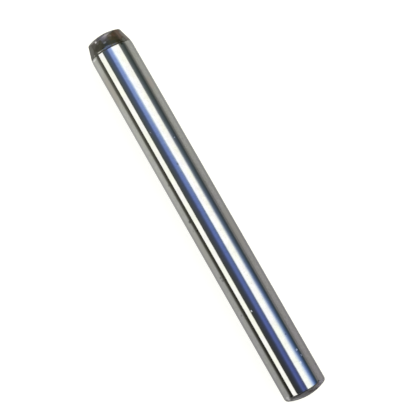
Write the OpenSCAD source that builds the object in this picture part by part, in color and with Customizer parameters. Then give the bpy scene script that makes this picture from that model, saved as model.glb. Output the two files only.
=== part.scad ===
// Dowel pin: a parallel pin turned from round steel bar, hardened, and ground to size along its shank.
// One end has a long shallow chamfer that leads the pin into its hole, and the other has a small round corner.
// Both end faces are crowned. The pin lies along X about its middle, with the lead-in end at +X.

/* [Shank] */
// Diameter of the ground shank
pin_d = 6; // [4:0.5:10]
// Length of the pin over both crowns
pin_len = 55; // [20:1:100]

/* [Lead-in end] */
// Length of the chamfer along the axis, from the crown to the shank
chamfer_len = 2.05; // [1:0.05:3]
// Angle of the chamfer from the axis
chamfer_angle = 16; // [8:1:20]
// Radius of the blend between the chamfer and the shank
shoulder_r = 4.1; // [1:0.1:5]
// Radius of the crowned face
lead_crown_r = 6.4; // [6:0.1:20]
// Radius of the edge between the crown and the chamfer
lead_edge_r = 0.06; // [0.02:0.01:0.3]

/* [Rounded end] */
// Radius of the crowned face
tail_crown_r = 6.6; // [6:0.1:20]
// Radius of the corner between the crown and the shank
tail_corner_r = 0.63; // [0.2:0.01:1.2]

/* [Hidden] */
$fn = 96;
pin_r = pin_d / 2;
// Spare bar past each apex, which the turning of that end takes away
spare = 1;
// How far the turned waste reaches beyond the corners of the pin
waste = 2;
// How far each round stands past the two faces that it joins, so that it crosses them cleanly
crossing = 0.00002;

// The sharp corners that the edge and the blend take off the lead-in end, measured from its apex
rim = let (r = pin_r - chamfer_len * tan(chamfer_angle)) [r, -crown_drop(lead_crown_r, r)];
shoulder = [pin_r, rim[1] - chamfer_len];

// How far a crown has fallen below its apex, at a distance from the axis
function crown_drop(crown_r, r) = crown_r - sqrt(crown_r * crown_r - r * r);

// Direction square to a side that leans in by an angle, and direction down along that side
function square_to(angle) = [cos(angle), sin(angle)];
function down_along(angle) = [sin(angle), -cos(angle)];

// Centre of the round between a crown and a side, which is a round's radius inside both of them
function edge_centre(crown_r, side_angle, side_point, edge_r) =
    let (
        crown_centre = [0, -crown_r],
        across = square_to(side_angle) * (side_point - crown_centre) - edge_r,
        up = sqrt(pow(crown_r - edge_r, 2) - across * across)
    )
    crown_centre + across * square_to(side_angle) - up * down_along(side_angle);

// Waste of one corner: a wedge between the directions square to its two faces, less the round
module corner_waste(centre, radius, first, second) {
    reach = radius + waste;
    translate(centre) difference() {
        polygon([[0, 0], reach * first, reach * (first + second), reach * second]);
        circle(r = radius + crossing);
    }
}

// Waste of a crowned end whose apex is the origin, with the pin below it: what lies outside the crown,
// and outside the round where the crown meets a side that passes through side_point
module crown_waste(crown_r, side_angle, side_point, edge_r) {
    crown_centre = [0, -crown_r];
    centre = edge_centre(crown_r, side_angle, side_point, edge_r);
    translate(crown_centre) difference() {
        square([pin_r + waste, crown_r + waste]);
        circle(r = crown_r);
    }
    corner_waste(centre, edge_r, (centre - crown_centre) / (crown_r - edge_r), square_to(side_angle));
}

// Waste of the chamfer and of the blend at its shoulder, measured from the same apex
module chamfer_waste() {
    start = rim - waste * down_along(chamfer_angle);
    end = shoulder + waste * down_along(chamfer_angle);
    blend_centre = shoulder - shoulder_r * [1, tan(chamfer_angle / 2)];
    polygon([start, end, [end[0], start[1]]]);
    corner_waste(blend_centre, shoulder_r, square_to(chamfer_angle), square_to(0));
}

// Half of the pin's long section, with the axis upright and the lead-in end at the top
module half_section() {
    difference() {
        translate([0, -pin_len / 2 - spare]) square([pin_r, pin_len + 2 * spare]);
        translate([0, pin_len / 2]) {
            crown_waste(lead_crown_r, chamfer_angle, rim, lead_edge_r);
            chamfer_waste();
        }
        translate([0, -pin_len / 2]) mirror([0, 1])
            crown_waste(tail_crown_r, 0, [pin_r, 0], tail_corner_r);
    }
}

module dowel_pin() {
    color("silver") rotate([0, 90, 0]) rotate_extrude() half_section();
}

dowel_pin();
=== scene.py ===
import math

import bpy
import numpy as np
from mathutils import Matrix, Vector


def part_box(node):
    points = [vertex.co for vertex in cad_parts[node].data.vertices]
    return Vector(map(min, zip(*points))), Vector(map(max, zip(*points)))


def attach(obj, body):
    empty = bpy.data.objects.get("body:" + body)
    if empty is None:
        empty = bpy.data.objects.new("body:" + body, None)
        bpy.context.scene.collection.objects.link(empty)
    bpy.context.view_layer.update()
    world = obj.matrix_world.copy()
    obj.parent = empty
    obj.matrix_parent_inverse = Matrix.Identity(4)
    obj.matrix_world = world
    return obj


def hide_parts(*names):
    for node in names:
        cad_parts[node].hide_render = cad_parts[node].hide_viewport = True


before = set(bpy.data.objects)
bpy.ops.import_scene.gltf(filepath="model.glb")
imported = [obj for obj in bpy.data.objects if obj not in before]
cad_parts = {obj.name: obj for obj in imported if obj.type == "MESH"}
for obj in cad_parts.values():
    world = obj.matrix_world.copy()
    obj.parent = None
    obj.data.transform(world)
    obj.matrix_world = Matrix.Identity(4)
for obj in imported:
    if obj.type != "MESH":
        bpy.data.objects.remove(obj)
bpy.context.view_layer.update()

# --- The pin -----------------------------------------------------------------------------------
# A hardened steel dowel pin, turned from round bar in one piece. Its shank is ground true and
# bright between a long chamfered lead-in at +X and a small round corner at -X. Both end faces are
# crowned, and they keep the dark scale and temper colours of the hardening.
MM = 0.001
pin_low, pin_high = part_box("dowel_pin")
PIN_R = pin_high.z
LEAD_TIP, TAIL_TIP = pin_high.x, pin_low.x
CHAMFER_LEN = 2.05 * MM
CHAMFER_ANGLE = math.radians(16)
SHOULDER_R = 4.1 * MM
LEAD_CROWN_R = 6.4 * MM
LEAD_EDGE_R = 0.06 * MM
TAIL_CROWN_R = 6.6 * MM
TAIL_CORNER_R = 0.63 * MM
AROUND = 256  # facets round the pin
CROWN_STEPS = 25  # points along each part of its outline
EDGE_STEPS = 13
CHAMFER_STEPS = 14
BLEND_STEPS = 17
SHANK_STEPS = 56


def arc(centre, radius, start, end, steps):
    """Points centre + radius * (cos a, sin a), for a from start to end, as rows of (x, radius)."""
    a = np.linspace(start, end, steps)[:, None]
    return np.array(centre) + radius * np.hstack([np.cos(a), np.sin(a)])


def between(start, end, steps):
    """Points start + share * (end - start) for even shares, without the two ends themselves."""
    return start + np.linspace(0, 1, steps)[1:-1, None] * (end - start)


def edge_centre(crown_r, side_angle, side_point, edge_r):
    """Centre of the round between a crown whose apex is at x = 0, with the pin towards -x, and a
    side through side_point that leans in by side_angle. It is edge_r inside both: q across the
    side is fixed, and p up along it follows from p^2 + q^2 = (crown_r - edge_r)^2."""
    across = np.array([math.sin(side_angle), math.cos(side_angle)])
    along = np.array([math.cos(side_angle), -math.sin(side_angle)])
    crown_centre = np.array([-crown_r, 0.0])
    q = across @ (np.array(side_point) - crown_centre) - edge_r
    p = math.sqrt((crown_r - edge_r) ** 2 - q * q)
    return crown_centre + q * across + p * along


def crown_and_edge(crown_r, side_angle, side_point, edge_r):
    """Outline from the apex at (0, 0) over the crown and round the edge to the side, as arcs."""
    centre = edge_centre(crown_r, side_angle, side_point, edge_r)
    lift = math.atan2(centre[1], centre[0] + crown_r)
    crown = arc((-crown_r, 0.0), crown_r, 0.0, lift, CROWN_STEPS)
    edge = arc(centre, edge_r, lift, math.pi / 2 - side_angle, EDGE_STEPS)
    return np.vstack([crown, edge[1:]])


def pin_outline():
    """Long section of the pin as rows of (x, radius), from the lead-in apex to the tail's apex."""
    rim_r = PIN_R - CHAMFER_LEN * math.tan(CHAMFER_ANGLE)
    rim_x = math.sqrt(LEAD_CROWN_R**2 - rim_r**2) - LEAD_CROWN_R
    shoulder_x = rim_x - CHAMFER_LEN
    lead = crown_and_edge(LEAD_CROWN_R, CHAMFER_ANGLE, (rim_x, rim_r), LEAD_EDGE_R)
    blend_centre = (shoulder_x - SHOULDER_R * math.tan(CHAMFER_ANGLE / 2), PIN_R - SHOULDER_R)
    square = math.pi / 2
    blend = arc(blend_centre, SHOULDER_R, square - CHAMFER_ANGLE, square, BLEND_STEPS)
    lead, blend = lead + [LEAD_TIP, 0], blend + [LEAD_TIP, 0]
    tail = crown_and_edge(TAIL_CROWN_R, 0.0, (0.0, PIN_R), TAIL_CORNER_R)[::-1]
    tail = tail * [-1, 1] + [TAIL_TIP, 0]
    chamfer = between(lead[-1], blend[0], CHAMFER_STEPS)
    shank = between(blend[-1], tail[0], SHANK_STEPS)
    return np.vstack([lead, chamfer, blend, shank, tail])


def turned(name, outline, around):
    """A closed surface of revolution about X: ring i, spoke j is at
    (x_i, r_i sin a_j, r_i cos a_j) with a_j = 2 pi j / around, and each end is one apex point."""
    x, r = outline[1:-1].T
    a = np.arange(around) * 2 * np.pi / around
    rings = np.stack(
        [np.repeat(x[:, None], around, 1), r[:, None] * np.sin(a), r[:, None] * np.cos(a)], -1
    )
    points = np.vstack([rings.reshape(-1, 3), [outline[0, 0], 0, 0], [outline[-1, 0], 0, 0]])
    first, last = len(points) - 2, len(points) - 1
    j = np.arange(around)
    after = (j + 1) % around
    ring = np.arange(len(x) - 1)[:, None] * around
    walls = np.stack([ring + j, ring + after, ring + around + after, ring + around + j], -1)
    start = np.stack([np.full(around, first), after, j], -1)
    foot = (len(x) - 1) * around
    end = np.stack([np.full(around, last), foot + j, foot + after], -1)
    faces = walls.reshape(-1, 4).tolist() + start.tolist() + end.tolist()
    mesh = bpy.data.meshes.new(name)
    mesh.from_pydata(points.tolist(), [], faces)
    mesh.polygons.foreach_set("use_smooth", np.ones(len(faces), bool))
    mesh.update()
    made = bpy.data.objects.new(name, mesh)
    bpy.context.scene.collection.objects.link(made)
    return made


pin = turned("ground_pin", pin_outline(), AROUND)


def put(tree, kind, feeds=(), **settings):
    """Add a node of this kind with these settings. Each feed is (socket name or number, value), and
    a value that is another node's output is linked."""
    made = tree.nodes.new("ShaderNode" + kind)
    for key, value in settings.items():
        setattr(made, key, value)
    for socket, value in feeds:
        if isinstance(value, bpy.types.NodeSocket):
            tree.links.new(value, made.inputs[socket])
        else:
            made.inputs[socket].default_value = value
    return made


def maths(tree, operation, *values):
    """One sum: the operation on one, two or three values or outputs."""
    return put(tree, "Math", enumerate(values), operation=operation).outputs[0]


def ease(tree, value, start, end):
    """0 before start and 1 after end, with a smooth rise between. Start may be above end."""
    rise = put(tree, "MapRange", [(0, value), (1, min(start, end)), (2, max(start, end))])
    rise.interpolation_type = "SMOOTHSTEP"
    if start > end:
        rise.inputs[3].default_value, rise.inputs[4].default_value = 1, 0
    return rise.outputs[0]


def blend(tree, share, first, second):
    """The first colour, turning into the second as share goes from 0 to 1."""
    mix = put(tree, "Mix", data_type="RGBA")
    for name, value in (("Factor", share), ("A", first), ("B", second)):
        socket = next(s for s in mix.inputs if s.name == name and s.enabled)
        if isinstance(value, bpy.types.NodeSocket):
            tree.links.new(value, socket)
        elif name == "Factor":
            socket.default_value = value
        else:
            socket.default_value = (*value, 1)
    return next(s for s in mix.outputs if s.enabled)


def cloud(tree, place, size, detail=2.0, seed=0.0):
    """Soft noise about 0.5 with lumps of this size in millimetres."""
    feeds = [("Vector", place), ("W", seed), ("Scale", 1 / size), ("Detail", detail)]
    return put(tree, "TexNoise", feeds, noise_dimensions="4D").outputs["Fac"]


steel = bpy.data.materials.new("ground_and_hardened_steel")
steel.use_nodes = True
tree = steel.node_tree
shader = tree.nodes["Principled BSDF"]
pin.data.materials.append(steel)

# Places on the pin in millimetres: x along it, and the radius about its middle line.
object_place = put(tree, "TexCoord").outputs["Object"]
to_mm = [(0, object_place), ("Scale", 1 / MM)]
place = put(tree, "VectorMath", to_mm, operation="SCALE").outputs[0]
x, y, z = put(tree, "SeparateXYZ", [(0, place)]).outputs
radius = maths(tree, "ADD", maths(tree, "MULTIPLY", y, y), maths(tree, "MULTIPLY", z, z))
radius = maths(tree, "SQRT", radius)

# The grinding wheel stopped just past the shoulder and just into the tail's corner, each slightly
# out of square and ragged, and cut a little further or less far on the -Y side. Each border is
# given by its x at y = 0, its lean, its raggedness, and steps that rise between two places along y.
LEAD_BORDER = (24.915, 0.045, 0.16, [((-1.8, -2.9), 0.14)])
TAIL_BORDER = (-26.82, 0.075, 0.06, [((-0.4, -0.8), -0.03), ((-1.75, -2.2), 0.38)])
BORDER_SOFT = (-0.02, 0.03)
ragged = maths(tree, "SUBTRACT", cloud(tree, place, 0.35), 0.5)


def ground_border(middle, lean, raggedness, steps):
    """Place along x where the ground steel ends: a slant across the pin, ragged and stepped."""
    border = maths(tree, "MULTIPLY_ADD", y, lean, middle)
    border = maths(tree, "MULTIPLY_ADD", ragged, raggedness, border)
    for (start, end), rise in steps:
        border = maths(tree, "MULTIPLY_ADD", ease(tree, y, start, end), rise, border)
    return border


past_lead = maths(tree, "SUBTRACT", x, ground_border(*LEAD_BORDER))
past_tail = maths(tree, "SUBTRACT", ground_border(*TAIL_BORDER), x)
lead_scale = ease(tree, past_lead, *BORDER_SOFT)
tail_scale = ease(tree, past_tail, *BORDER_SOFT)
scale = maths(tree, "MAXIMUM", lead_scale, tail_scale)

# Just past the shoulder the scale has one faint ring of bare steel, broken up, which is a painted
# highlight and brighter towards +Y.
RING_START, RING_END = (0.16, 0.22), (0.37, 0.29)
ring = maths(tree, "MULTIPLY", ease(tree, past_lead, *RING_START), ease(tree, past_lead, *RING_END))
ring = maths(tree, "MULTIPLY", ring, ease(tree, cloud(tree, place, 0.6, seed=3), 0.45, 0.65))
ring_highlight_share = maths(tree, "MULTIPLY_ADD", ease(tree, y, -0.2, 1.2), 0.6, 0.15)
scale = maths(tree, "SUBTRACT", scale, maths(tree, "MULTIPLY", ring, ring_highlight_share))

# Olive scale, thinner and greyer at the tail, with patches of brown, violet and blue temper
# colours. Among them is painted light: paler patches on the flanks of both ends are painted sheen,
# pale patches near the lead-in's rim are a painted highlight on scale worn thin there, and thin
# lines at the tail's corner are painted shade and reflections. The underside has the same patches
# and marks again, slid round from where those of the top are.
mottle = ease(tree, cloud(tree, place, 0.8, seed=5), 0.35, 0.65)
OLIVE = ((0.050, 0.047, 0.028), (0.073, 0.068, 0.043))
GREY = ((0.22, 0.21, 0.188), (0.285, 0.27, 0.243))
lead_colour = blend(tree, mottle, *OLIVE)
tail_colour = blend(tree, mottle, *GREY)
scale_colour = blend(tree, ease(tree, x, 1.0, -1.0), lead_colour, tail_colour)
TEMPER_AND_PAINTED_LIGHT_PATCHES = [  # middle of the patch, its reach along x, y and z, all in mm, and its colour
    # painted sheen on the lead-in's +Y flank
    ((26.1, 2.4, 1.4), (1.5, 0.6, 1.0), (0.148, 0.142, 0.12)),
    ((26.5, -2.05, 1.8), (1.1, 0.45, 0.8), (0.18, 0.124, 0.086)),
    # painted sheen on the lead-in's -Y flank
    ((26.2, -2.65, 0.9), (1.5, 0.5, 0.9), (0.27, 0.24, 0.205)),
    ((25.75, -1.65, 2.2), (1.1, 0.24, 0.8), (0.092, 0.07, 0.048)),
    ((25.77, -1.0, 2.5), (0.8, 0.75, 0.7), (0.046, 0.037, 0.019)),
    ((25.77, -0.35, 2.75), (0.5, 0.4, 0.5), (0.041, 0.041, 0.028)),
    ((26.4, 1.55, 1.9), (0.6, 0.35, 0.6), (0.095, 0.087, 0.072)),
    ((25.3, 1.85, 2.2), (0.35, 0.35, 0.5), (0.088, 0.084, 0.066)),
    ((25.2, -2.3, 1.9), (0.4, 0.2, 0.5), (0.175, 0.168, 0.13)),
    ((26.45, -1.4, 2.1), (0.35, 0.3, 0.5), (0.084, 0.053, 0.03)),
    ((26.27, -0.4, 2.6), (0.3, 0.4, 0.5), (0.070, 0.062, 0.052)),
    ((26.32, 0.3, 2.6), (0.25, 0.4, 0.5), (0.105, 0.094, 0.082)),
    ((26.4, 1.0, 2.3), (0.22, 0.25, 0.4), (0.11, 0.10, 0.083)),
    # from here to x = 26.47, pale patches near the lead-in's rim: a painted highlight on scale worn
    # thin
    ((26.9, 0.6, 2.2), (0.3, 1.5, 1.0), (0.155, 0.137, 0.12)),
    ((26.93, 1.65, 1.8), (0.13, 0.6, 0.8), (0.25, 0.24, 0.215)),
    ((26.97, -0.9, 2.0), (0.1, 0.6, 0.6), (0.20, 0.18, 0.16)),
    ((26.45, 0.05, 2.55), (0.2, 0.5, 0.4), (0.11, 0.097, 0.087)),
    ((26.6, 0.1, 2.5), (0.17, 0.6, 0.5), (0.185, 0.158, 0.142)),
    ((26.78, -0.35, 2.45), (0.12, 0.5, 0.4), (0.28, 0.246, 0.216)),
    ((26.47, 0.35, 2.5), (0.13, 0.45, 0.5), (0.155, 0.138, 0.125)),
    ((26.45, -0.85, 2.4), (0.25, 0.25, 0.4), (0.12, 0.093, 0.07)),
    ((25.94, 0.1, 2.7), (0.14, 0.2, 0.3), (0.17, 0.165, 0.145)),
    ((25.58, 0.1, 2.8), (0.12, 0.25, 0.3), (0.035, 0.042, 0.042)),
    ((25.3, 0.65, 2.8), (0.15, 0.2, 0.3), (0.028, 0.028, 0.015)),
    ((25.2, 0.1, 2.9), (0.17, 0.6, 0.4), (0.105, 0.12, 0.14)),
    ((25.03, -0.05, 2.95), (0.07, 0.35, 0.3), (0.028, 0.034, 0.09)),
    ((25.1, -0.95, 2.8), (0.1, 0.2, 0.3), (0.08, 0.09, 0.10)),
    ((25.8, 1.35, 2.4), (0.5, 0.35, 0.5), (0.053, 0.05, 0.036)),
    ((26.3, 0.6, 2.5), (0.3, 0.25, 0.4), (0.076, 0.068, 0.043)),
    ((26.2, -0.75, 2.55), (0.25, 0.3, 0.4), (0.06, 0.051, 0.03)),
    ((25.25, -1.5, 2.45), (0.35, 0.35, 0.5), (0.034, 0.031, 0.014)),
    ((26.8, 0.7, 2.35), (0.08, 0.35, 0.4), (0.10, 0.096, 0.092)),
    ((25.5, -0.95, 2.7), (0.2, 0.45, 0.4), (0.034, 0.037, 0.024)),
    ((25.0, -1.75, 2.4), (0.12, 0.3, 0.4), (0.024, 0.024, 0.012)),
    ((24.98, 1.85, 2.35), (0.1, 0.15, 0.3), (0.03, 0.03, 0.025)),
    # tail: pale patches on the corner's flanks are painted sheen, thin dark lines along the ground
    # edge painted shade, and thin light and dark lines on the corner painted reflections
    ((-26.85, -2.0, 1.9), (0.25, 0.6, 0.8), (0.27, 0.235, 0.25)),
    ((-26.8, -2.6, 1.3), (0.35, 0.62, 0.9), (0.46, 0.43, 0.41)),
    ((-27.15, 1.7, 1.4), (0.15, 0.9, 0.6), (0.40, 0.395, 0.365)),
    ((-27.34, 0.5, 1.3), (0.08, 1.0, 0.6), (0.33, 0.31, 0.285)),
    ((-26.88, 0.6, 2.8), (0.08, 1.3, 0.8), (0.055, 0.055, 0.053)),
    ((-26.86, -0.85, 2.8), (0.08, 0.3, 0.4), (0.33, 0.31, 0.29)),
    ((-27.18, -0.6, 2.0), (0.09, 0.45, 0.5), (0.15, 0.125, 0.095)),
    ((-27.28, -1.4, 1.2), (0.1, 0.5, 0.5), (0.12, 0.105, 0.10)),
    ((-26.84, 1.5, 2.4), (0.06, 0.4, 0.5), (0.06, 0.06, 0.055)),
    ((-26.77, 1.92, 2.15), (0.09, 0.15, 0.3), (0.07, 0.07, 0.065)),
    ((-26.87, -0.2, 2.78), (0.06, 0.25, 0.4), (0.036, 0.036, 0.034)),
    ((-27.1, -1.9, 1.15), (0.12, 0.3, 0.5), (0.46, 0.39, 0.40)),
    ((-27.29, -1.5, 0.64), (0.06, 0.35, 0.5), (0.09, 0.062, 0.06)),
    ((-27.27, -0.7, 1.5), (0.05, 0.4, 0.5), (0.16, 0.12, 0.10)),
    ((-27.26, 1.15, 1.3), (0.08, 0.55, 0.5), (0.45, 0.44, 0.41)),
]
# Edges rubbed bare, painted brighter than the bare steel around them: partly real wear and partly
# painted glints.
RUBBED_AND_GLINT_SPOTS = [  # spots where an edge is rubbed bare and bright, in the same way
    ((26.66, 1.15, 2.1), (0.16, 0.14, 0.3), (0.60, 0.58, 0.54)),
    ((24.76, 2.55, 1.5), (0.12, 0.4, 0.6), (0.60, 0.60, 0.57)),
    ((-26.7, 2.47, 1.7), (0.35, 0.26, 0.6), (0.62, 0.61, 0.58)),
]
SPOT_EDGE = (1.35, 0.55)  # shares of its reach at which a spot has gone, and is full
WANDER = 0.8  # how ragged that edge is, as a share of the reach
SLIDE = 1.1  # how far round the underside's spots are, in mm
wander = maths(tree, "MULTIPLY_ADD", cloud(tree, place, 0.4), WANDER, -WANDER / 2)
slide = maths(tree, "MULTIPLY", ease(tree, z, -0.2, -1.6), SLIDE)
folded = [(0, x), (1, maths(tree, "ADD", y, slide)), (2, maths(tree, "ABSOLUTE", z))]
folded = put(tree, "CombineXYZ", folded).outputs[0]


def spot(tree, middle, reach):
    """1 inside a ragged ellipsoid with soft edges and 0 outside it."""
    apart = put(tree, "VectorMath", [(0, folded), (1, middle)], operation="SUBTRACT").outputs[0]
    apart = put(tree, "VectorMath", [(0, apart), (1, reach)], operation="DIVIDE").outputs[0]
    apart = put(tree, "VectorMath", [(0, apart)], operation="LENGTH").outputs["Value"]
    return ease(tree, maths(tree, "ADD", apart, wander), *SPOT_EDGE)


def spotted(tree, under, spots):
    """The colour under, covered by spots of other colours."""
    for middle, reach, spot_colour in spots:
        under = blend(tree, spot(tree, middle, reach), under, spot_colour)
    return under


scale_colour = spotted(tree, scale_colour, TEMPER_AND_PAINTED_LIGHT_PATCHES)

# The ground steel is bright, slightly paler and darker in lumps, with a trace of oil that leans to
# blue or yellow.
stain = ease(tree, cloud(tree, place, 1.0, seed=8), 0.3, 0.7)
oil = ease(tree, cloud(tree, place, 1.6, seed=14), 0.35, 0.65)
yellowish = blend(tree, stain, (0.384, 0.392, 0.341), (0.412, 0.420, 0.365))
bluish = blend(tree, stain, (0.388, 0.388, 0.371), (0.416, 0.416, 0.397))
ground_colour = blend(tree, oil, yellowish, bluish)

# All over the shank lies a little dark grain, with more of it and pale grain too on the flanks,
# and fine dark specks.
GRAIN_SIZE = 0.3
DARK_GRAIN, DARK_SHARE = (0.3, 0.28, 0.27), 0.18
PALE_GRAIN, PALE_SHARE = (0.54, 0.545, 0.50), 0.2
SPECKS, SPECK_SHARE = (0.2, 0.19, 0.17), 0.35
flanks = ease(tree, maths(tree, "ABSOLUTE", y), 1.8, 2.05)
grain = ease(tree, cloud(tree, place, GRAIN_SIZE, seed=9), 0.3, 0.7)
dark_share = maths(tree, "MULTIPLY_ADD", flanks, DARK_SHARE, DARK_SHARE)
ground_colour = blend(tree, maths(tree, "MULTIPLY", grain, dark_share), ground_colour, DARK_GRAIN)
grain = ease(tree, cloud(tree, place, GRAIN_SIZE, seed=10), 0.3, 0.7)
pale_share = maths(tree, "MULTIPLY", flanks, PALE_SHARE)
ground_colour = blend(tree, maths(tree, "MULTIPLY", grain, pale_share), ground_colour, PALE_GRAIN)
specks = ease(tree, cloud(tree, place, GRAIN_SIZE, seed=11), 0.68, 0.74)
ground_colour = blend(tree, maths(tree, "MULTIPLY", specks, SPECK_SHARE), ground_colour, SPECKS)

# Then come small dull marks, a few broad faint stains, and matt nicks that catch the light.
DULL = [  # in the same way as the patches
    ((-0.28, 2.15, 2.1), (0.22, 0.2, 0.3), (0.15, 0.155, 0.14)),
    ((5.27, 2.16, 2.1), (0.17, 0.17, 0.3), (0.26, 0.26, 0.24)),
    ((-8.66, 2.27, 2.0), (0.17, 0.17, 0.3), (0.26, 0.26, 0.24)),
    ((-9.13, 2.21, 2.0), (0.2, 0.17, 0.3), (0.26, 0.26, 0.24)),
    ((7.04, -0.3, 3.0), (0.2, 0.15, 0.3), (0.25, 0.25, 0.24)),
    ((-19.24, -1.46, 2.6), (0.17, 0.15, 0.3), (0.26, 0.26, 0.25)),
    ((-1.83, 1.81, 2.4), (0.15, 0.15, 0.3), (0.13, 0.13, 0.11)),
    ((-1.57, 2.36, 1.9), (0.15, 0.15, 0.3), (0.28, 0.28, 0.26)),
    ((-14.27, 2.33, 1.9), (0.15, 0.15, 0.3), (0.28, 0.28, 0.26)),
    ((-24.48, -2.84, 1.0), (0.15, 0.15, 0.3), (0.30, 0.28, 0.29)),
    ((24.85, -1.72, 2.4), (0.25, 0.15, 0.3), (0.15, 0.16, 0.105)),
    ((-26.65, 0.95, 2.8), (0.12, 0.13, 0.3), (0.2, 0.2, 0.2)),
    ((-26.78, -0.15, 2.85), (0.1, 0.16, 0.3), (0.22, 0.22, 0.2)),
    ((20.1, 2.6, 1.5), (2.4, 0.7, 1.2), (0.36, 0.342, 0.298)),
    ((18.4, -2.5, 1.6), (0.9, 0.5, 1.0), (0.41, 0.38, 0.34)),
    ((-4.2, 2.6, 1.5), (3.2, 0.7, 1.2), (0.385, 0.38, 0.338)),
    ((-4.0, -2.6, 1.6), (3.0, 0.6, 1.1), (0.395, 0.39, 0.345)),
    ((-26.62, 1.95, 2.2), (0.17, 0.15, 0.3), (0.13, 0.13, 0.12)),
]
NICKS = [  # in the same way again
    ((-14.47, 0.86, 2.9), (0.14, 0.12, 0.3), (0.50, 0.51, 0.48)),
    ((-21.69, -1.72, 2.5), (0.13, 0.11, 0.3), (0.36, 0.40, 0.50)),
    ((-22.59, -1.9, 2.3), (0.14, 0.11, 0.3), (0.21, 0.23, 0.27)),
    ((10.35, -1.66, 2.5), (0.10, 0.09, 0.3), (0.25, 0.27, 0.31)),
    ((12.42, 0.75, 2.9), (0.11, 0.1, 0.3), (0.20, 0.20, 0.21)),
    ((-23.37, -1.33, 2.7), (0.13, 0.12, 0.3), (0.60, 0.62, 0.66)),
]
ground_colour = spotted(tree, spotted(tree, ground_colour, DULL), NICKS)
nicked = 0.0
for middle, reach, _ in NICKS:
    nicked = maths(tree, "MAXIMUM", nicked, spot(tree, middle, reach))
colour = spotted(tree, blend(tree, scale, ground_colour, scale_colour), RUBBED_AND_GLINT_SPOTS)
tree.links.new(colour, shader.inputs["Base Color"])
shader.inputs["Metallic"].default_value = 1.0

# Rings left by grinding and turning, and pits, both much shallower on the shank than in the scale,
# and the faintest of dents all over, in two sizes. Scale and nicks are matt.
DEPTH = 0.004 * MM
SHANK_SHARE = 0.15  # how deep rings and pits are on the shank, next to those in the scale
SHANK_ROUGH, SCALE_ROUGHER, PITS_ROUGHER, NICKS_ROUGHER = 0.07, 0.45, 0.1, 0.5
turned_place = put(tree, "CombineXYZ", [(0, x), (1, radius)]).outputs[0]
rings = cloud(tree, turned_place, 0.12, detail=3)
pits = cloud(tree, place, 0.15, detail=3, seed=2)
worn = maths(tree, "ADD", rings, maths(tree, "MULTIPLY", pits, 0.5))
worn_share = maths(tree, "MULTIPLY_ADD", scale, 1 - SHANK_SHARE, SHANK_SHARE)
height = maths(tree, "MULTIPLY", worn, worn_share)
height = maths(tree, "ADD", cloud(tree, place, 1.1, seed=21), height)
height = maths(tree, "MULTIPLY_ADD", cloud(tree, place, 0.35, seed=22), 0.25, height)
bump = put(tree, "Bump", [("Strength", 1.0), ("Distance", DEPTH), ("Height", height)])
tree.links.new(bump.outputs[0], shader.inputs["Normal"])
scale_pits = maths(tree, "MULTIPLY", pits, scale)
rough = maths(tree, "MULTIPLY_ADD", scale, SCALE_ROUGHER, SHANK_ROUGH)
rough = maths(tree, "MULTIPLY_ADD", scale_pits, PITS_ROUGHER, rough)
rough = maths(tree, "MULTIPLY_ADD", nicked, NICKS_ROUGHER, rough)
tree.links.new(rough, shader.inputs["Roughness"])

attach(pin, "root")
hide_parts("dowel_pin")

# --- The table ---------------------------------------------------------------------------------
# A pale table under the pin, which isn't part of the object. Seen directly it is plain white. What
# the pin mirrors of it is a soft pool of light on the +Y side, dimmer close under the pin.
TABLE_R = 1.2
TABLE_SIDES = 96

rim_turn = np.arange(TABLE_SIDES) * 2 * np.pi / TABLE_SIDES
rim_points = np.stack(
    [TABLE_R * np.cos(rim_turn), TABLE_R * np.sin(rim_turn), np.full_like(rim_turn, pin_low.z)], -1
)
table_mesh = bpy.data.meshes.new("table_top")
table_mesh.from_pydata(rim_points.tolist(), [], [list(range(TABLE_SIDES))])
table_top = bpy.data.objects.new("table_top", table_mesh)
bpy.context.scene.collection.objects.link(table_top)

pale_table = bpy.data.materials.new("pale_table")
pale_table.use_nodes = True
tree = pale_table.node_tree
tree.nodes.clear()
table_mesh.materials.append(pale_table)

object_place = put(tree, "TexCoord").outputs["Object"]
to_mm = [(0, object_place), ("Scale", 1 / MM)]
place = put(tree, "VectorMath", to_mm, operation="SCALE").outputs[0]
x, y, z = put(tree, "SeparateXYZ", [(0, place)]).outputs

# The pool, which fades as POOL_PEAK / (1 + (distance / POOL_REACH)^2) and is stretched a little.
POOL_AT, POOL_STRETCH = (22.0, 14.0, pin_low.z / MM), (0.69, 0.6, 1.0)
POOL_PEAK, POOL_REACH, TABLE_GLOW = 0.7, 38.0, 0.33
offset = put(tree, "VectorMath", [(0, place), (1, POOL_AT)], operation="SUBTRACT").outputs[0]
offset = put(tree, "VectorMath", [(0, offset), (1, POOL_STRETCH)], operation="MULTIPLY").outputs[0]
away = put(tree, "VectorMath", [(0, offset)], operation="LENGTH").outputs["Value"]
away = maths(tree, "POWER", maths(tree, "DIVIDE", away, POOL_REACH), 2.0)
pool = maths(tree, "DIVIDE", POOL_PEAK, maths(tree, "ADD", away, 1.0))

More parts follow.
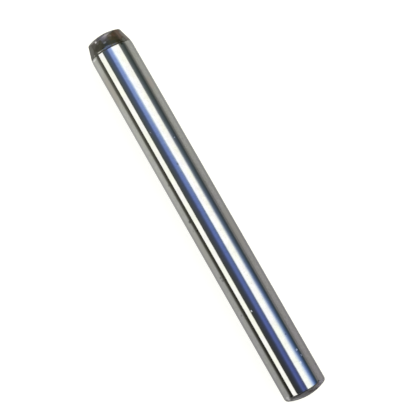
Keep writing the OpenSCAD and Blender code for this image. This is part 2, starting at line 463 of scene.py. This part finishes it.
# The pin's own shade, from which the light grows as (distance + SHADE_EDGE) / SHADE_REACH until it
# is full, and which is deeper past the tail. Each side also has a shallow dip about halfway along.
SHADE_EDGE, SHADE_REACH = 3.0, 12.5
past_end = maths(tree, "SUBTRACT", maths(tree, "ABSOLUTE", x), LEAD_TIP / MM)
past_end = maths(tree, "MAXIMUM", past_end, 0.0)
from_pin = put(tree, "CombineXYZ", [(0, past_end), (1, y)]).outputs[0]
from_pin = put(tree, "VectorMath", [(0, from_pin)], operation="LENGTH").outputs["Value"]
shade = maths(tree, "DIVIDE", maths(tree, "ADD", from_pin, SHADE_EDGE), SHADE_REACH)
shade = maths(tree, "MINIMUM", shade, 1.0)
deeper = maths(tree, "MULTIPLY_ADD", ease(tree, x, -33.0, -36.0), -0.6, 1.0)
shade = maths(tree, "MULTIPLY", shade, deeper)
DIPS = [  # middle along x, where it fades, share regained by then and lost in it, and side along y
    (2.0, (4.0, 16.0), 0.06, -0.20, (3.0, -3.0)),
    (-3.0, (3.0, 14.0), 0.05, -0.05, (-3.0, 3.0)),
]
for middle, fade, regained, lost, side in DIPS:
    from_dip = maths(tree, "ABSOLUTE", maths(tree, "SUBTRACT", x, middle))
    dip = maths(tree, "MULTIPLY_ADD", ease(tree, from_dip, *fade), regained, lost)
    dip = maths(tree, "MULTIPLY_ADD", dip, ease(tree, y, *side), 1.0)
    shade = maths(tree, "MULTIPLY", shade, dip)

mirrored = maths(tree, "MULTIPLY", maths(tree, "ADD", pool, TABLE_GLOW), shade)
tail_cast = blend(tree, ease(tree, y, 10.0, -10.0), (0.99, 0.99, 1.02), (1.0, 0.955, 1.045))
cast = blend(tree, ease(tree, x, 30.0, -30.0), (0.995, 1.005, 0.99), tail_cast)
pool_light = put(tree, "Emission", [("Color", cast), ("Strength", mirrored)]).outputs[0]
SEEN_MATT, SEEN_GLOW = (0.42, 0.39, 0.24), 0.8
white = put(tree, "Emission", [("Strength", SEEN_GLOW)]).outputs[0]
matt = put(tree, "BsdfDiffuse", [("Color", (*SEEN_MATT, 1))]).outputs[0]
direct = put(tree, "AddShader", [(0, matt), (1, white)]).outputs[0]
seen = put(tree, "LightPath").outputs["Is Camera Ray"]
either = put(tree, "MixShader", [(0, seen), (1, pool_light), (2, direct)]).outputs[0]
put(tree, "OutputMaterial", [("Surface", either)])

# --- The light tent ----------------------------------------------------------------------------
# Two long white openings run along the pin, one each side of the top, with blue cloth between
# them and dark cloth outside, and fan out as they come down past its ends. Seen directly the tent
# is plain white.
TENT_LIGHT, DIRECT_LIGHT = 2.45, 1.1
END_CLOTH = (0.2, 0.2, 0.2)
WHITE = (1.0, 1.0, 1.0)

# The tent's cross section changes along the pin, and is given three times, as angles in degrees
# from straight up, positive towards -Y, and the cloth's colour there.
AT_TAIL = [
    (-90, (0.125, 0.12, 0.12)),
    (-85, (0.05, 0.05, 0.045)),
    (-80, (0.018, 0.018, 0.014)),
    (-68.5, (0.018, 0.018, 0.014)),
    (-67.5, WHITE),
    (-45.5, WHITE),
    (-44.4, (0.05, 0.05, 0.05)),
    (-38, (0.033, 0.034, 0.038)),
    (-26, (0.031, 0.035, 0.05)),
    (-18, (0.034, 0.04, 0.085)),
    (-13, (0.05, 0.065, 0.16)),
    (-7, (0.082, 0.107, 0.33)),
    (0, (0.067, 0.09, 0.30)),
    (6, (0.058, 0.075, 0.22)),
    (11, (0.062, 0.075, 0.17)),
    (14.5, (0.085, 0.10, 0.18)),
    (17.7, (0.85, 0.91, 0.98)),
    (20, (1.0, 1.01, 1.05)),
    (25, (1.0, 1.02, 1.02)),
    (36, (1.0, 1.02, 1.02)),
    (44.5, (0.74, 0.82, 0.98)),
    (51.7, (0.41, 0.53, 0.83)),
    (57, (0.21, 0.30, 0.60)),
    (62.5, (0.10, 0.165, 0.37)),
    (69, (0.042, 0.075, 0.17)),
    (75, (0.025, 0.046, 0.08)),
    (79, (0.037, 0.05, 0.066)),
    (84, (0.115, 0.12, 0.13)),
    (90, (0.20, 0.195, 0.205)),
]
AT_MIDDLE = [
    (-90, (0.135, 0.135, 0.12)),
    (-85, (0.06, 0.06, 0.05)),
    (-80, (0.04, 0.04, 0.033)),
    (-69.85, (0.035, 0.035, 0.025)),
    (-68.85, WHITE),
    (-44.1, WHITE),
    (-42.9, (0.08, 0.085, 0.08)),
    (-38, (0.054, 0.062, 0.068)),
    (-26, (0.053, 0.062, 0.085)),
    (-18, (0.052, 0.065, 0.125)),
    (-14, (0.063, 0.084, 0.185)),
    (-8, (0.105, 0.148, 0.385)),
    (-2, (0.122, 0.18, 0.46)),
    (5, (0.108, 0.158, 0.38)),
    (10, (0.115, 0.162, 0.31)),
    (12.5, (0.235, 0.285, 0.43)),
    (15, (0.93, 0.99, 1.10)),
    (20, (1.02, 1.02, 1.13)),
    (25, (1.03, 1.02, 1.10)),
    (31, (1.03, 1.01, 1.05)),
    (36, (1.02, 1.0, 1.0)),
    (43.6, WHITE),
    (47, (0.79, 0.82, 0.87)),
    (51.6, (0.44, 0.48, 0.575)),
    (55.5, (0.19, 0.225, 0.31)),
    (61, (0.092, 0.12, 0.175)),
    (68, (0.06, 0.083, 0.125)),
    (75, (0.037, 0.051, 0.068)),
    (80, (0.05, 0.058, 0.068)),
    (85, (0.12, 0.125, 0.14)),
    (90, (0.19, 0.19, 0.205)),
]
AT_LEAD = [
    (-90, (0.165, 0.165, 0.15)),
    (-83, (0.09, 0.09, 0.078)),
    (-78, (0.07, 0.07, 0.058)),
    (-69.8, (0.06, 0.058, 0.045)),
    (-68.8, WHITE),
    (-43.1, WHITE),
    (-41.9, (0.11, 0.12, 0.115)),
    (-38, (0.07, 0.088, 0.092)),
    (-26, (0.073, 0.097, 0.14)),
    (-18, (0.064, 0.093, 0.19)),
    (-14, (0.083, 0.122, 0.258)),
    (-8.5, (0.235, 0.33, 0.665)),
    (-2, (0.25, 0.345, 0.69)),
    (4, (0.31, 0.42, 0.76)),
    (8.6, (0.575, 0.70, 0.99)),
    (13, (0.98, 1.06, 1.17)),
    (17, (0.98, 1.03, 1.16)),
    (20, (1.0, 1.03, 1.13)),
    (25, (1.0, 1.02, 1.08)),
    (31, (1.0, 1.01, 1.02)),
    (37, WHITE),
    (49.5, WHITE),
    (52.6, (0.15, 0.16, 0.15)),
    (62.5, (0.085, 0.10, 0.098)),
    (75, (0.042, 0.053, 0.052)),
    (79, (0.042, 0.053, 0.051)),
    (84, (0.083, 0.086, 0.082)),
    (90, (0.142, 0.15, 0.143)),
]

tent = bpy.data.worlds.new("light_tent")
bpy.context.scene.world = tent
tent.use_nodes = True
tree = tent.node_tree

# Each cross section is a ramp over the angle from straight up. Half of that angle is taken as the
# arctangent of -Y / (Z + 1), which is exact across the pin and fans the openings out past its ends.
toward = put(tree, "SeparateXYZ", [(0, put(tree, "TexCoord").outputs["Generated"])]).outputs
aside = maths(tree, "MULTIPLY", toward["Y"], -1.0)
around = maths(tree, "ARCTAN2", aside, maths(tree, "ADD", toward["Z"], 1.0))
around = maths(tree, "MULTIPLY_ADD", around, 1 / math.pi, 0.5)
sections = []
for panels in (AT_TAIL, AT_MIDDLE, AT_LEAD):
    section = put(tree, "ValToRGB", [(0, around)])
    for angle, _ in panels[2:]:
        section.color_ramp.elements.new(angle / 360 + 0.5)
    for element, (angle, colour) in zip(section.color_ramp.elements, panels):
        element.position = angle / 360 + 0.5
        element.color = (*colour, 1)
    sections.append(section.outputs[0])

# How far each section is along the tent, as the sine of its angle from straight across the pin.
# Straight ahead of each end the cloth is plain grey.
TAIL_AT, MIDDLE_AT, LEAD_AT = 0.016, 0.118, 0.22
to_middle = put(tree, "MapRange", [(0, toward["X"]), (1, TAIL_AT), (2, MIDDLE_AT)]).outputs[0]
to_lead = put(tree, "MapRange", [(0, toward["X"]), (1, MIDDLE_AT), (2, LEAD_AT)]).outputs[0]
cloth = blend(tree, to_lead, blend(tree, to_middle, *sections[:2]), sections[2])
end_on = ease(tree, maths(tree, "ABSOLUTE", toward["X"]), 0.985, 0.999)
cloth = blend(tree, end_on, cloth, END_CLOTH)
mirrored = put(tree, "Background", [("Color", cloth), ("Strength", TENT_LIGHT)]).outputs[0]
plain_white = [("Color", (*WHITE, 1)), ("Strength", DIRECT_LIGHT)]
direct = put(tree, "Background", plain_white).outputs[0]
seen = put(tree, "LightPath").outputs["Is Camera Ray"]
either = put(tree, "MixShader", [(0, seen), (1, mirrored), (2, direct)]).outputs[0]
tree.links.new(either, tree.nodes["World Output"].inputs["Surface"])

bpy.context.scene.view_settings.view_transform = "Standard"

# --- The camera --------------------------------------------------------------------------------
# It looks down on the pin from nearly five pin lengths away, leaning towards the tail and a little
# towards -Y, and is turned so that the lead-in end points up and to the left.
PIN_LEN = LEAD_TIP - TAIL_TIP
DISTANCE = 4.82 * PIN_LEN
LEAN_TO_TAIL = math.radians(6.8)
LEAN_ASIDE = math.radians(2)
TURN = math.radians(29.8)
FIELD = 55.35 * MM  # width of what is seen at the pin's middle
ASIDE, ABOVE = 0.763 * MM, 0.435 * MM  # how far the pin's middle is left of and below the aim

camera_data = bpy.data.cameras.new("camera")
camera_data.lens = camera_data.sensor_width / 2 / (FIELD / 2 / DISTANCE)
camera = bpy.data.objects.new("camera", camera_data)
bpy.context.scene.collection.objects.link(camera)
bpy.context.scene.camera = camera
back = Vector((-math.sin(LEAN_TO_TAIL), -math.sin(LEAN_ASIDE), 0))
back.z = math.sqrt(1 - back.length_squared)
lengthwise = Vector((1, 0, 0))
lengthwise = (lengthwise - lengthwise.dot(back) * back).normalized()
crosswise = back.cross(lengthwise)
up_vector = math.cos(TURN) * lengthwise - math.sin(TURN) * crosswise
right_vector = up_vector.cross(back)
aim = Vector(((LEAD_TIP + TAIL_TIP) / 2, 0, 0)) + ASIDE * right_vector + ABOVE * up_vector
turn = Matrix((right_vector, up_vector, back)).transposed().to_4x4()
camera.matrix_world = Matrix.Translation(aim + DISTANCE * back) @ turn
